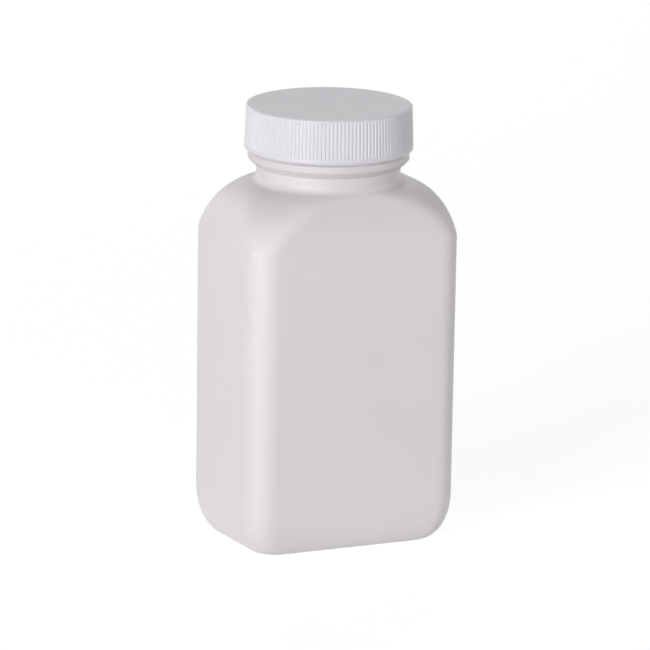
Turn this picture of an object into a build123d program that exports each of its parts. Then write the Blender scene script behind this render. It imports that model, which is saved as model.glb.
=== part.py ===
from build123d import *
import math
import os

# A rectangular wide-mouth media bottle: a blown bottle, its screw cap and the cap's sealing disc.
# Millimetres. +Z is up the neck's axis, +X runs along the wide faces, and z = 0 is the resting plane.

# ---- driving dimensions: the bottle's body ----
BODY_WIDTH = 75.4           # across the narrow faces, at the resting plane's level
SIDE_DRAFT = 0.003          # growth of each half size for each millimetre of height
CORNER_RADIUS = 8.3         # upright corners
BODY_HEIGHT = 104.3         # resting plane to where the shoulder starts to turn in
SHOULDER_RISE = 17.4        # start of the shoulder to the foot of the neck
SHOULDER_WIDE_POWER = 2.22  # curve of the shoulder along X: 2 is an ellipse, more is fuller
SHOULDER_DEEP_POWER = 3.0   # curve of the shoulder along Y
SHOULDER_TURN_POWER = 1.02  # how the corners open out into the round neck
CREST_INSIDE_NECK = 0.85    # how far inside the neck the shoulder's curve ends
WALL = 1.2                  # blown wall

# ---- driving dimensions: the bottle's base ----
HEEL_INSET = 7.5            # how far the heel curves in from the sides
HEEL_RISE = 16.2            # how high the heel's curve reaches
HEEL_CORNER_RADIUS = 7.5    # corners of the outline that meets the bench
BEARING_WIDTH = 3.0         # flat ring that the bottle stands on
PUSH_UP = 3.0               # height of the recess inside that ring
PUSH_UP_SLOPE = 5.0         # width of the recess's rounded side
PINCH_RELIEF_DEPTH = 0.45   # hollow that keeps the mould's pinch line off the bench
PINCH_RELIEF_WIDTH = 12.0
PINCH_RIB_WIDTH = 1.2       # the pinch line itself, a low welded rib
PINCH_RIB_HEIGHT = 0.4
PINCH_RIB_LENGTH = 34.0

# ---- driving dimensions: the neck ----
NECK_RADIUS = 23.95         # plain neck below the bead
FACE_LEDGE = 2.67           # how far the wide faces stand outside the neck, at the shoulder
NECK_SHANK = 5.05           # foot of the neck to the bead's underside
NECK_FOOT_RADIUS = 2.6      # hollow fillet between neck and shoulder
NECK_WALL = 1.45            # wall of the plain neck
BEAD_REACH = 2.9            # how far the bead stands out from the neck
BEAD_SLOPE = 2.5            # height of the bead's rounded underside
BEAD_BULGE = 0.15           # how far that underside bows out
BEAD_EDGE = 2.3             # height of the bead's upright edge
BEAD_CHAMFER = 0.3
FINISH_STEP = 1.0           # how far the thread's root stands out from the neck
FINISH_HEIGHT = 13.35       # bead to the land that seals
LAND_CHAMFER = 0.6

# ---- driving dimensions: the screw thread, six to the inch, right-handed ----
PITCH = 25.4 / 6
THREAD_TURNS = 1.25
THREAD_DEPTH = 1.05         # bottle's thread, above its root
THREAD_ROOT_WIDTH = 2.0
THREAD_CREST_WIDTH = 0.8
THREAD_FADE = 35.0          # degrees over which each end runs out
THREAD_END_SHARE = 0.04     # depth left at the very ends
THREAD_BELOW_LAND = 2.4     # land to the middle of the thread's upper end
FLANK_CLEARANCE = 0.25
CREST_CLEARANCE = 0.25

# ---- driving dimensions: the cap and its sealing disc ----
CAP_WALL = 1.09             # skirt's wall behind the ribs, at its top
CAP_FLARE = 0.5             # growth of the skirt's radius from top to bottom
CAP_TOP_WALL = 1.3
CAP_TOP_ROUND = 0.7         # radius of the edge round the cap's top
CAP_FOOT_CHAMFER = 0.95
CAP_TO_BEAD = 0.25          # gap under the closed cap
CAP_BAND = 2.2              # plain band and chamfer under the ribs
RIB_HEAD = 0.1              # plain ring between the rounded edge and the ribs' upper ends
RIB_COUNT = 136
RIB_DEPTH = 0.26
RIB_SHARE = 0.42            # part of each step that the rib's crest takes
RIB_FLANK = 0.20            # part of each step that each flank takes
GATE_RADIUS = 1.65          # dimple where the plastic entered the mould
GATE_DEPTH = 0.4
LINER_THICKNESS = 1.0
LINER_CLEARANCE = 0.2

# ---- levels and radii that follow ----
BODY_DEPTH = 2 * (NECK_RADIUS + FACE_LEDGE - SIDE_DRAFT * BODY_HEIGHT)  # at the resting plane's level
NECK_FOOT_Z = BODY_HEIGHT + SHOULDER_RISE
BEAD_UNDERSIDE_Z = NECK_FOOT_Z + NECK_SHANK
BEAD_TOP_Z = BEAD_UNDERSIDE_Z + BEAD_SLOPE + BEAD_EDGE
LAND_Z = BEAD_TOP_Z + FINISH_HEIGHT
CAP_BOTTOM_Z = BEAD_TOP_Z + CAP_TO_BEAD
CAP_CEILING_Z = LAND_Z + LINER_THICKNESS
CAP_TOP_Z = CAP_CEILING_Z + CAP_TOP_WALL
BORE_RADIUS = NECK_RADIUS - NECK_WALL
BEAD_RADIUS = NECK_RADIUS + BEAD_REACH
FINISH_RADIUS = NECK_RADIUS + FINISH_STEP
CAP_BORE_RADIUS = FINISH_RADIUS + THREAD_DEPTH + CREST_CLEARANCE
CAP_TOP_RADIUS = CAP_BORE_RADIUS + CAP_WALL + RIB_DEPTH
CAP_RIM_RADIUS = CAP_TOP_RADIUS + CAP_FLARE
THREAD_TOP_Z = LAND_Z - THREAD_BELOW_LAND

SECTION_STEPS = 7           # outlines that shape each curved stretch of the body
THREAD_SECTIONS = 30        # outlines along each thread
BURY = 0.3                  # how deep an added form starts inside the solid that carries it
OVERSHOOT = 1.0             # how far a cut runs past the surface it opens
LEAST_STRAIGHT = 0.04       # straight run left between two corners that meet


def outline(half_width, half_depth, radius, height):
    """Rounded rectangle, at a height. Its corners reach no further than its middle."""
    widest = min(half_width, half_depth) - LEAST_STRAIGHT / 2
    return Plane.XY.offset(height) * RectangleRounded(2 * half_width, 2 * half_depth, min(radius, widest))


def quarter_turn():
    """Even steps of angle, from 0 to 90, along one curved stretch of the body."""
    return [90 * i / SECTION_STEPS for i in range(SECTION_STEPS + 1)]


def side_outline(height, inset):
    """Outline of the upright sides, moved in by a wall."""
    growth = SIDE_DRAFT * height - inset
    return outline(BODY_WIDTH / 2 + growth, BODY_DEPTH / 2 + growth, CORNER_RADIUS - inset, height)


def heel_outline(turn, inset):
    """Outline of the heel. turn runs from 0 on the bench to 90 where the sides start."""
    reach = HEEL_INSET - inset
    rise = HEEL_RISE - inset
    height = HEEL_RISE - rise * math.cos(math.radians(turn))
    drawn_in = reach * (1 - math.sin(math.radians(turn)))
    growth = SIDE_DRAFT * HEEL_RISE - inset - drawn_in
    tightening = (CORNER_RADIUS - HEEL_CORNER_RADIUS) * drawn_in / reach
    radius = CORNER_RADIUS - inset - tightening
    return outline(BODY_WIDTH / 2 + growth, BODY_DEPTH / 2 + growth, radius, height)


def shoulder_outline(turn, inset):
    """Outline of the shoulder. turn runs from 0 at the sides to 90 at its crest."""
    t = math.sin(math.radians(turn))
    wide = (1 - t**SHOULDER_WIDE_POWER) ** (1 / SHOULDER_WIDE_POWER)
    deep = (1 - t**SHOULDER_DEEP_POWER) ** (1 / SHOULDER_DEEP_POWER)
    square = (1 - t**SHOULDER_TURN_POWER) ** (1 / SHOULDER_TURN_POWER)
    crest = NECK_RADIUS - CREST_INSIDE_NECK - inset
    growth = SIDE_DRAFT * BODY_HEIGHT - inset
    half_width = crest + (BODY_WIDTH / 2 + growth - crest) * wide
    half_depth = crest + (BODY_DEPTH / 2 + growth - crest) * deep
    radius = crest + (CORNER_RADIUS - inset - crest) * square
    return outline(half_width, half_depth, radius, BODY_HEIGHT + t * (SHOULDER_RISE - inset))


def body_form(inset):
    """The whole body as a solid: the outside at inset 0, the space inside at inset WALL."""
    heel = loft([heel_outline(turn, inset) for turn in quarter_turn()])
    sides = loft([side_outline(HEEL_RISE, inset), side_outline(BODY_HEIGHT, inset)])
    shoulder = loft([shoulder_outline(turn, inset) for turn in quarter_turn()])
    return heel + sides + shoulder


def push_up(grown):
    """The recess under the base, or its upper side when grown by the wall."""
    start = HEEL_INSET + BEARING_WIDTH - grown
    outlines = []
    for turn in quarter_turn():
        inset = start + PUSH_UP_SLOPE * (1 - math.cos(math.radians(turn)))
        outlines.append(outline(
            BODY_WIDTH / 2 - inset,
            BODY_DEPTH / 2 - inset,
            HEEL_CORNER_RADIUS - BEARING_WIDTH + grown,
            grown + PUSH_UP * math.sin(math.radians(turn)),
        ))
    skirt = extrude(outlines[0], -grown - OVERSHOOT)
    return skirt + loft(outlines)


def neck_form():
    """Neck, bead and plain finish, solid, from inside the shoulder to the land."""
    low = BODY_HEIGHT + SHOULDER_RISE / 2
    bead_low = (NECK_RADIUS, BEAD_UNDERSIDE_Z)
    bead_high = (BEAD_RADIUS, BEAD_UNDERSIDE_Z + BEAD_SLOPE)
    section = [
        Polyline((0, LAND_Z), (0, low), (NECK_RADIUS, low), bead_low),
        SagittaArc(bead_low, bead_high, -BEAD_BULGE),
        Polyline(
            bead_high,
            (BEAD_RADIUS, BEAD_TOP_Z - BEAD_CHAMFER),
            (BEAD_RADIUS - BEAD_CHAMFER, BEAD_TOP_Z),
            (FINISH_RADIUS, BEAD_TOP_Z),
            (FINISH_RADIUS, LAND_Z - LAND_CHAMFER),
            (FINISH_RADIUS - LAND_CHAMFER, LAND_Z),
            (0, LAND_Z),
        ),
    ]
    return revolve(Plane.XZ * make_face(Wire([edge for line in section for edge in line.edges()])), Axis.Z)


def thread_form(base_radius, crest_radius, base_width, crest_width, top_z, turns):
    """Right-handed thread as one loft round the axis. Its ends run out to nothing at the base."""
    sweep_angle = 360 * turns
    outlines = []
    for i in range(THREAD_SECTIONS + 1):
        angle = sweep_angle * i / THREAD_SECTIONS
        from_end = min(angle, sweep_angle - angle)
        fade = math.sin(math.radians(90 * min(1.0, from_end / THREAD_FADE)))
        share = THREAD_END_SHARE + (1 - THREAD_END_SHARE) * fade
        height = top_z - PITCH * (sweep_angle - angle) / 360
        crest = base_radius + (crest_radius - base_radius) * share
        width = base_width + (crest_width - base_width) * share
        root = base_radius - math.copysign(BURY, crest_radius - base_radius)
        section_plane = Plane(origin=(0, 0, height), x_dir=Vector(1, 0, 0).rotate(Axis.Z, angle),
                              z_dir=Vector(0, -1, 0).rotate(Axis.Z, angle))
        corners = [(root, -base_width / 2), (base_radius, -base_width / 2), (crest, -width / 2),
                   (crest, width / 2), (base_radius, base_width / 2), (root, base_width / 2)]
        outlines.append(section_plane * make_face(Polyline(*corners, close=True)))
    return loft(outlines)


def bottle():
    """One blown solid: body, neck, bead and thread round one open space."""
    body, neck = body_form(0), neck_form()
    shell = body + neck
    shell = fillet(new_edges(body, neck, combined=shell), NECK_FOOT_RADIUS)
    shell += thread_form(
        FINISH_RADIUS, FINISH_RADIUS + THREAD_DEPTH, THREAD_ROOT_WIDTH, THREAD_CREST_WIDTH,
        THREAD_TOP_Z, THREAD_TURNS,
    )
    space = body_form(WALL) - push_up(WALL)
    space += Pos(0, 0, BODY_HEIGHT) * Cylinder(
        BORE_RADIUS, LAND_Z - BODY_HEIGHT + OVERSHOOT, align=(Align.CENTER, Align.CENTER, Align.MIN)
    )
    shell = shell - space - push_up(0)
    # the mould's pinch line: a low rib in the recess, and a hollow where it would cross the bench
    relief_radius = (PINCH_RELIEF_WIDTH**2 / 4 + PINCH_RELIEF_DEPTH**2) / (2 * PINCH_RELIEF_DEPTH)
    relief = Pos(0, 0, PINCH_RELIEF_DEPTH - relief_radius) * Rot(0, 90, 0) * Cylinder(
        relief_radius, BODY_WIDTH + 2 * OVERSHOOT
    )
    shell -= relief
    shell += Pos(0, 0, PUSH_UP) * Box(
        PINCH_RIB_LENGTH, PINCH_RIB_WIDTH, 2 * PINCH_RIB_HEIGHT,
    )
    return shell


def cap_blank():
    """The cap before its thread and ribs: a drafted skirt, rounded into its top, chamfered at its foot."""
    round_start = (CAP_TOP_RADIUS - CAP_TOP_ROUND, CAP_TOP_Z)
    round_end = (CAP_TOP_RADIUS, CAP_TOP_Z - CAP_TOP_ROUND)
    section = [
        Line((0, CAP_TOP_Z), round_start),
        RadiusArc(round_start, round_end, CAP_TOP_ROUND),
        Polyline(
            round_end,
            (CAP_RIM_RADIUS, CAP_BOTTOM_Z + CAP_FOOT_CHAMFER),
            (CAP_RIM_RADIUS - CAP_FOOT_CHAMFER, CAP_BOTTOM_Z),
            (CAP_BORE_RADIUS, CAP_BOTTOM_Z),
            (CAP_BORE_RADIUS, CAP_CEILING_Z),
            (0, CAP_CEILING_Z),
            (0, CAP_TOP_Z),
        ),
    ]
    return revolve(Plane.XZ * make_face(Wire([edge for line in section for edge in line.edges()])), Axis.Z)


def rib_outline(height, crest_radius):
    """Outline of the ribbed skirt at a height: crests and grooves, joined by straight flanks."""
    step = 360 / RIB_COUNT
    corners = []
    for i in range(RIB_COUNT):
        for share, radius in (
            (0, crest_radius),
            (RIB_SHARE, crest_radius),
            (RIB_SHARE + RIB_FLANK, crest_radius - RIB_DEPTH),
            (1 - RIB_FLANK, crest_radius - RIB_DEPTH),
        ):
            corners.append(Vector(radius, 0, height).rotate(Axis.Z, step * (i + share)))
    return make_face(Polyline(*corners, close=True))


def rib_grooves():
    """All the grooves between the ribs as one ring, from the plain band to just under the rounded edge."""
    low = CAP_BOTTOM_Z + CAP_BAND
    high = CAP_TOP_Z - CAP_TOP_ROUND - RIB_HEAD
    lean = CAP_FLARE / (CAP_TOP_Z - CAP_TOP_ROUND - CAP_BOTTOM_Z - CAP_FOOT_CHAMFER)
    low_radius = CAP_RIM_RADIUS - lean * (CAP_BAND - CAP_FOOT_CHAMFER)
    high_radius = CAP_TOP_RADIUS + lean * RIB_HEAD
    ribs = loft([rib_outline(low, low_radius), rib_outline(high, high_radius)], ruled=True)
    ring = Pos(0, 0, low) * Cylinder(
        CAP_RIM_RADIUS + OVERSHOOT, high - low, align=(Align.CENTER, Align.CENTER, Align.MIN)
    )
    return ring - ribs


def cap():
    """Moulded screw cap: ribbed skirt, plain band, inner thread and the gate's dimple."""
    ball = (GATE_RADIUS**2 + GATE_DEPTH**2) / (2 * GATE_DEPTH)
    drop = (THREAD_ROOT_WIDTH + THREAD_CREST_WIDTH) / 2 + FLANK_CLEARANCE
    thread = thread_form(
        CAP_BORE_RADIUS, FINISH_RADIUS + CREST_CLEARANCE, THREAD_ROOT_WIDTH, THREAD_CREST_WIDTH,
        THREAD_TOP_Z - drop, THREAD_TURNS,
    )
    blank = cap_blank() - Pos(0, 0, CAP_TOP_Z + ball - GATE_DEPTH) * Sphere(ball)
    return blank + thread - rib_grooves()


def cap_liner():
    """Foam sealing disc, held between the cap's ceiling and the bottle's land."""
    return Pos(0, 0, LAND_Z) * Cylinder(
        CAP_BORE_RADIUS - LINER_CLEARANCE, LINER_THICKNESS,
        align=(Align.CENTER, Align.CENTER, Align.MIN),
    )


os.makedirs("parts", exist_ok=True)
for name, piece in (("bottle", bottle()), ("cap", cap()), ("cap_liner", cap_liner())):
    export_step(piece, f"parts/{name}.step")
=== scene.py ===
"""Looks of a rectangular media bottle: its finishes, a plain studio and a camera."""

import logging
import math
from dataclasses import dataclass, field
from typing import Any

import bpy
from mathutils import Matrix, Vector

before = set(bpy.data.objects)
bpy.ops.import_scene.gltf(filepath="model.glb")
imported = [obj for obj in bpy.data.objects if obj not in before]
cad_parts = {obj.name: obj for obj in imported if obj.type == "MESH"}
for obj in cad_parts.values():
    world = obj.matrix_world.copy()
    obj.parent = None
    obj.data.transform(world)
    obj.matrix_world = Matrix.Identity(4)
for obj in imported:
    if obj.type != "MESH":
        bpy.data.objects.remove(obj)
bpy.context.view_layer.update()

log = logging.getLogger("media_bottle")
MM = 0.001
GLOSS_SPREAD = (-0.05, 0.08)  # how far a grain moves the roughness, down and up
WAVE_STEP = math.tau / 20     # spacing of a wave texture's rings at a scale of 1


def linear(hex_colour: str) -> tuple[float, float, float, float]:
    """Turns an sRGB hex colour into linear RGBA.

    Args:
        hex_colour: six hex digits, with or without a leading hash.

    Returns:
        The linear colour with an alpha of 1.
    """
    digits = hex_colour.lstrip("#")
    channels = [int(digits[i:i + 2], 16) / 255 for i in (0, 2, 4)]
    values = [c / 12.92 if c <= 0.04045 else ((c + 0.055) / 1.055) ** 2.4 for c in channels]
    return values[0], values[1], values[2], 1.0


def add_node(tree: Any, kind: str, settings: dict[str, Any] | None = None, **inputs: Any) -> Any:
    """Adds a node with its settings, its socket values and its links.

    Args:
        tree: the node tree that takes the node.
        kind: the node's type name.
        settings: attributes of the node itself, such as its operation.
        inputs: values or output sockets for its inputs. An underscore stands for a space, and a
            name of the form n0 picks an input by its number.

    Returns:
        The new node.
    """
    node = tree.nodes.new(kind)
    for name, value in (settings or {}).items():
        setattr(node, name, value)
    for name, value in inputs.items():
        numbered = name[0] == "n" and name[1:].isdigit()
        socket = node.inputs[int(name[1:])] if numbered else node.inputs[name.replace("_", " ")]
        if isinstance(value, bpy.types.NodeSocket):
            tree.links.new(value, socket)
        else:
            socket.default_value = value
    return node


def new_material(name: str) -> tuple[Any, Any, Any]:
    """Makes an empty node material.

    Args:
        name: the material's name.

    Returns:
        The material, its node tree and its output node.
    """
    material = bpy.data.materials.new(name)
    material.use_nodes = True
    tree = material.node_tree
    tree.nodes.clear()
    return material, tree, add_node(tree, "ShaderNodeOutputMaterial")


def noise(tree: Any, where: Any, size_mm: float, detail: float, roughness: float) -> Any:
    """Adds a noise pattern.

    Args:
        tree: the node tree that takes it.
        where: the socket with the coordinates.
        size_mm: width of its blotches, in millimetres.
        detail: number of finer layers.
        roughness: strength of the finer layers.

    Returns:
        The socket with the pattern, from 0 to 1.
    """
    return add_node(tree, "ShaderNodeTexNoise", Vector=where, Scale=1 / (size_mm * MM),
                    Detail=detail, Roughness=roughness).outputs["Fac"]


def bump(tree: Any, height: Any, strength: float, depth_mm: float, over: Any = None) -> Any:
    """Adds relief to a surface.

    Args:
        tree: the node tree that takes it.
        height: the socket with the pattern.
        strength: share of the relief that shows.
        depth_mm: depth of the pattern, in millimetres.
        over: the normal of a coarser relief below it, if there is one.

    Returns:
        The socket with the bent normal.
    """
    below = {} if over is None else {"Normal": over}
    return add_node(tree, "ShaderNodeBump", Strength=strength, Distance=depth_mm * MM,
                    Height=height, **below).outputs["Normal"]


def broken_gloss(tree: Any, grain: Any, roughness: float) -> Any:
    """Adds a roughness that a grain breaks up.

    Args:
        tree: the node tree that takes it.
        grain: the socket with the grain's pattern.
        roughness: the level that the grain spreads from.

    Returns:
        The socket with the roughness.
    """
    down, up = GLOSS_SPREAD
    return add_node(tree, "ShaderNodeMapRange", Value=grain, To_Min=roughness + down,
                    To_Max=roughness + up).outputs["Result"]


def blend(tree: Any, share: Any, first: Any, second: Any) -> Any:
    """Adds a mix of two colours.

    Args:
        tree: the node tree that takes it.
        share: the socket with the second colour's share.
        first: a linear colour or a socket.
        second: a linear colour or a socket.

    Returns:
        The socket with the mixed colour.
    """
    return add_node(tree, "ShaderNodeMix", {"data_type": "RGBA"}, n0=share, n6=first,
                    n7=second).outputs[2]


def coat(node: str, material: Any) -> Any:
    """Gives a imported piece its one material.

    Args:
        node: the piece's name.
        material: the Blender material.

    Returns:
        The piece.
    """
    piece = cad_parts[node]
    piece.data.materials.clear()
    piece.data.materials.append(material)
    return piece


def outward(azimuth: float, elevation: float) -> Vector:
    """Turns a bearing into the direction from the bottle towards it.

    Args:
        azimuth: degrees round from the front, positive to the right.
        elevation: degrees above level.

    Returns:
        The unit vector.
    """
    a, e = math.radians(azimuth), math.radians(elevation)
    return Vector((math.sin(a) * math.cos(e), -math.cos(a) * math.cos(e), math.sin(e)))


@dataclass(frozen=True)
class NaturalPolyethylene:
    """Unpigmented high-density polyethylene, extrusion blown in a sandblasted mould."""

    # Milky white with a faint rose cast and a low, waxy sheen. Light sinks a millimetre into the
    # wall, which softens every edge. The blasted mould leaves a fine even grain, drawn a little
    # coarser than the real 0.2 mm so that it still shows at arm's length, and the hot tube that
    # was blown out leaves slow waves and faint upright flow lines. The tube stretches least near
    # the neck, so up the shoulder the wall stays thicker and lets less light through from behind.
    # That dimming is painted shade: a darker colour blended into the base colour towards the neck.
    colour: str = "#F7F2F6"
    deep_colour: str = "#F3EEF2"
    # painted shade: a darker colour for the upper shoulder and neck, not the plastic's own tone
    neck_shade_colour: str = "#E9E4E6"
    shade_from_mm: float = 101.0
    shade_to_mm: float = 127.0
    grain_mm: float = 0.55
    wave_mm: float = 26.0
    flow_mm: float = 7.0
    flow_stretch: tuple[float, float, float] = (1.0, 1.0, 0.06)
    roughness: float = 0.48
    scatter_share: float = 0.25
    scatter_mm: float = 1.0

    def build(self) -> Any:
        """Makes the material.

        Returns:
            The Blender material.
        """
        material, tree, output = new_material("natural_hdpe_blown")
        place = add_node(tree, "ShaderNodeTexCoord").outputs["Object"]
        height = add_node(tree, "ShaderNodeSeparateXYZ", Vector=place).outputs["Z"]
        upright = add_node(tree, "ShaderNodeMapping", Vector=place, Scale=self.flow_stretch)
        waves = noise(tree, place, self.wave_mm, 1.0, 0.4)
        flow = noise(tree, upright.outputs["Vector"], self.flow_mm, 2.0, 0.5)
        grain = noise(tree, place, self.grain_mm, 3.0, 0.6)
        body = blend(tree, waves, linear(self.deep_colour), linear(self.colour))
        # painted shade: the base colour darkens with height towards the neck
        painted_neck_shade = add_node(tree, "ShaderNodeMapRange", {"interpolation_type": "SMOOTHSTEP"},
                           Value=height, From_Min=self.shade_from_mm * MM,
                           From_Max=self.shade_to_mm * MM)
        colour = blend(tree, painted_neck_shade.outputs["Result"], body, linear(self.neck_shade_colour))
        slow = bump(tree, waves, 0.15, 0.25)
        lines = bump(tree, flow, 0.12, 0.04, slow)
        skin = add_node(tree, "ShaderNodeBsdfPrincipled", Base_Color=colour, IOR=1.54,
                        Roughness=broken_gloss(tree, grain, self.roughness),
                        Normal=bump(tree, grain, 0.25, 0.02, lines))
        skin.inputs["Subsurface Weight"].default_value = self.scatter_share
        skin.inputs["Subsurface Radius"].default_value = (1.0, 1.0, 1.0)
        skin.inputs["Subsurface Scale"].default_value = self.scatter_mm * MM
        tree.links.new(skin.outputs["BSDF"], output.inputs["Surface"])
        return material


@dataclass(frozen=True)
class MouldedPolypropylene:
    """White polypropylene, injection moulded in a lightly textured steel tool."""

    # Opaque cool white, a little crisper and glossier than the bottle. The tool's fine texture
    # breaks the sheen, drawn a little coarser than the real 0.2 mm so that it still shows, and
    # melt that spread from the gate leaves very faint rings on the top.
    colour: str = "#EFECF3"
    grain_mm: float = 0.4
    ring_mm: float = 9.425
    roughness: float = 0.34

    def build(self) -> Any:
        """Makes the material.

        Returns:
            The Blender material.
        """
        material, tree, output = new_material("white_polypropylene_moulded")
        place = add_node(tree, "ShaderNodeTexCoord").outputs["Object"]
        grain = noise(tree, place, self.grain_mm, 3.0, 0.6)
        rings = add_node(tree, "ShaderNodeTexWave", {"wave_type": "RINGS", "rings_direction": "Z"},
                         Vector=place, Scale=WAVE_STEP / (self.ring_mm * MM), Distortion=1.5,
                         Detail=2.0)
        spread = bump(tree, rings.outputs["Fac"], 0.05, 0.05)
        skin = add_node(tree, "ShaderNodeBsdfPrincipled", IOR=1.49,
                        Roughness=broken_gloss(tree, grain, self.roughness),
                        Normal=bump(tree, grain, 0.2, 0.02, spread))
        skin.inputs["Base Color"].default_value = linear(self.colour)
        tree.links.new(skin.outputs["BSDF"], output.inputs["Surface"])
        return material


@dataclass(frozen=True)
class LinerFoam:
    """Closed-cell polyethylene foam, cut from sheet for the cap's seal."""

    # Matt warm white. Each closed cell is a shallow round dent with a soft rim, so the disc
    # looks like very fine orange peel.
    colour: str = "#F0EFEA"
    cell_mm: float = 0.5
    roughness: float = 0.85

    def build(self) -> Any:
        """Makes the material.

        Returns:
            The Blender material.
        """
        material, tree, output = new_material("polyethylene_foam")
        place = add_node(tree, "ShaderNodeTexCoord").outputs["Object"]
        cells = add_node(tree, "ShaderNodeTexVoronoi", Vector=place,
                         Scale=1 / (self.cell_mm * MM))
        skin = add_node(tree, "ShaderNodeBsdfPrincipled", Roughness=self.roughness, IOR=1.5,
                        Normal=bump(tree, cells.outputs["Distance"], 0.5, 0.08))
        skin.inputs["Base Color"].default_value = linear(self.colour)
        tree.links.new(skin.outputs["BSDF"], output.inputs["Surface"])
        return material


@dataclass(frozen=True)
class StudioFloor:
    """Pale floor: half white glow to the eye and in reflections, half matt for a faint shadow."""

    colour: str = "#F2F2F2"
    glow_share: float = 0.5
    glow: float = 1.62

    def build(self) -> Any:
        """Makes the material.

        Returns:
            The Blender material.
        """
        material, tree, output = new_material("studio_floor")
        matt = add_node(tree, "ShaderNodeBsdfDiffuse")
        matt.inputs["Color"].default_value = linear(self.colour)
        white = add_node(tree, "ShaderNodeEmission", Strength=self.glow)
        rays = add_node(tree, "ShaderNodeLightPath")
        seen = add_node(tree, "ShaderNodeMath", {"operation": "MAXIMUM"},
                        n0=rays.outputs["Is Camera Ray"], n1=rays.outputs["Is Glossy Ray"])
        looked_at = add_node(tree, "ShaderNodeMath", {"operation": "MAXIMUM"},
                             n0=seen.outputs[0], n1=rays.outputs["Is Transmission Ray"])
        share = add_node(tree, "ShaderNodeMath", {"operation": "MULTIPLY"},
                         n0=looked_at.outputs[0], n1=self.glow_share)
        mix = add_node(tree, "ShaderNodeMixShader", n0=share.outputs[0],
                       n1=matt.outputs[0], n2=white.outputs[0])
        tree.links.new(mix.outputs[0], output.inputs["Surface"])
        return material


@dataclass
class Bottle:
    """The blown bottle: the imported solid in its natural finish."""

    node: str = "bottle"
    finish: NaturalPolyethylene = field(default_factory=NaturalPolyethylene)

    def dress(self) -> list[Any]:
        """Gives the solid its finish, and returns it."""
        return [coat(self.node, self.finish.build())]


@dataclass
class ScrewCap:
    """The cap and the foam disc inside it."""

    finish: MouldedPolypropylene = field(default_factory=MouldedPolypropylene)
    liner_finish: LinerFoam = field(default_factory=LinerFoam)

    def dress(self) -> list[Any]:
        """Gives the cap and its liner their finishes, and returns them."""
        return [coat("cap", self.finish.build()), coat("cap_liner", self.liner_finish.build())]


@dataclass(frozen=True)
class Camera:
    """The viewpoint: a long lens, from a little above, turned towards the bottle's left."""

    azimuth: float = -25.69
    elevation: float = 13.475
    roll: float = 0.903
    distance: float = 2.6252
    lens: float = 436.3
    sensor: float = 36.0
    nearest: float = 0.1
    farthest: float = 20.0
    target: tuple[float, float, float] = (0.0, 0.0, 0.070)
    offset_right: float = -0.00027
    offset_up: float = 0.0018

    def place(self) -> Any:
        """Makes the camera and sets it as the scene's.

        Returns:
            The camera object.
        """
        a, r = math.radians(self.azimuth), math.radians(self.roll)
        back = outward(self.azimuth, self.elevation)
        level = Vector((math.cos(a), math.sin(a), 0.0))
        upright = back.cross(level)
        right = level * math.cos(r) + upright * math.sin(r)
        up = upright * math.cos(r) - level * math.sin(r)
        data = bpy.data.cameras.new("camera")
        data.lens = self.lens
        data.sensor_width = self.sensor
        data.clip_start, data.clip_end = self.nearest, self.farthest
        camera = bpy.data.objects.new("camera", data)
        bpy.context.scene.collection.objects.link(camera)
        aim = Vector(self.target) + right * self.offset_right + up * self.offset_up
        turned = Matrix((right, up, back)).transposed().to_4x4()
        camera.matrix_world = Matrix.Translation(aim + back * self.distance) @ turned
        bpy.context.scene.camera = camera
        return camera


@dataclass(frozen=True)
class Softbox:
    """One soft rectangular lamp that faces the bottle."""

    name: str
    azimuth: float
    elevation: float
    power: float
    width: float = 0.8
    height: float = 0.8
    distance: float = 1.8
    aim_height: float = 0.08

    def build(self) -> Any:
        """Makes the lamp.

        Returns:
            The lamp object.
        """
        back = outward(self.azimuth, self.elevation)
        data = bpy.data.lights.new(self.name, "AREA")
        data.shape = "RECTANGLE"
        data.size, data.size_y = self.width, self.height
        data.energy = self.power
        lamp = bpy.data.objects.new(self.name, data)
        bpy.context.scene.collection.objects.link(lamp)
        lamp.location = Vector((0.0, 0.0, self.aim_height)) + back * self.distance
        lamp.rotation_mode = "QUATERNION"
        lamp.rotation_quaternion = (-back).to_track_quat("-Z", "Y")
        return lamp


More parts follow.
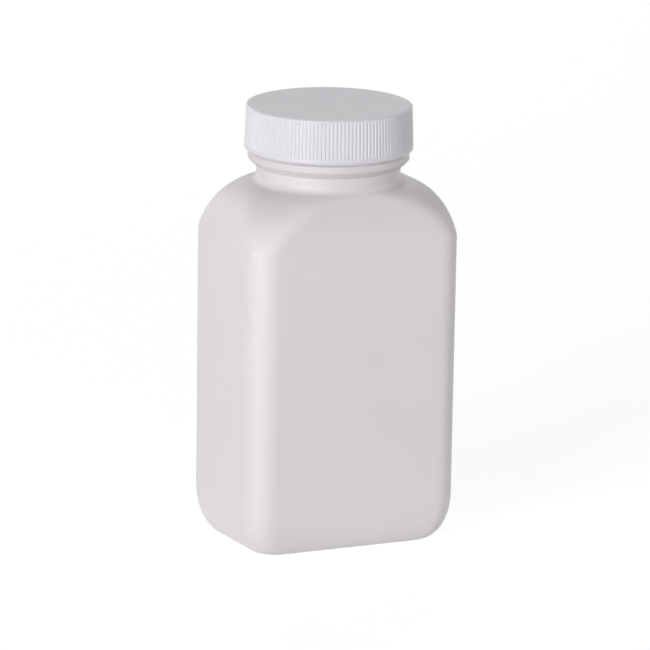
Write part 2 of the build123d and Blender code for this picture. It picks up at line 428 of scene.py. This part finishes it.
@dataclass
class Studio:
    """Plain pale floor, with soft lamps that stand round it and one overhead."""

    floor_size: float = 8.0
    sky: float = 0.07
    backdrop: float = 1.0
    backdrop_in_gloss: float = 1.2
    lamps: tuple[Softbox, ...] = (
        Softbox("key_front_left", -56.0, 12.0, 20.0),
        Softbox("fill_front", -20.0, 40.0, 2.0),
        Softbox("fill_front_right", 60.0, 12.0, 7.4),
        Softbox("rim_back_right", 154.0, 40.0, 4.4),
        Softbox("rim_back_left", -166.0, 14.0, 4.5),
        Softbox("overhead", -26.0, 85.0, 1.0),
    )

    def build(self) -> None:
        """Makes the floor, the lamps and the sky."""
        bpy.ops.mesh.primitive_plane_add(size=self.floor_size)
        floor = bpy.context.active_object
        floor.name = "floor"
        floor.data.materials.append(StudioFloor().build())
        for lamp in self.lamps:
            log.info("lit by %s", lamp.build().name)
        world = bpy.data.worlds.new("studio")
        bpy.context.scene.world = world
        world.use_nodes = True
        tree = world.node_tree
        tree.nodes.clear()
        output = add_node(tree, "ShaderNodeOutputWorld")
        rays = add_node(tree, "ShaderNodeLightPath")
        even = add_node(tree, "ShaderNodeBackground", Strength=self.sky)
        mirrored = add_node(tree, "ShaderNodeBackground", Strength=self.backdrop_in_gloss)
        white = add_node(tree, "ShaderNodeBackground", Strength=self.backdrop)
        on_object = add_node(tree, "ShaderNodeMixShader", n0=rays.outputs["Is Glossy Ray"],
                             n1=even.outputs[0], n2=mirrored.outputs[0])
        mix = add_node(tree, "ShaderNodeMixShader", n0=rays.outputs["Is Camera Ray"],
                       n1=on_object.outputs[0], n2=white.outputs[0])
        tree.links.new(mix.outputs[0], output.inputs["Surface"])


def main() -> None:
    """Dresses the bottle and its cap, then sets the studio and the camera round them."""
    logging.basicConfig(level=logging.INFO, format="%(message)s")
    for piece in Bottle().dress() + ScrewCap().dress():
        log.info("dressed %s", piece.name)
    Studio().build()
    log.info("placed %s", Camera().place().name)
    bpy.context.scene.view_settings.view_transform = "Standard"


if __name__ == "__main__":
    main()
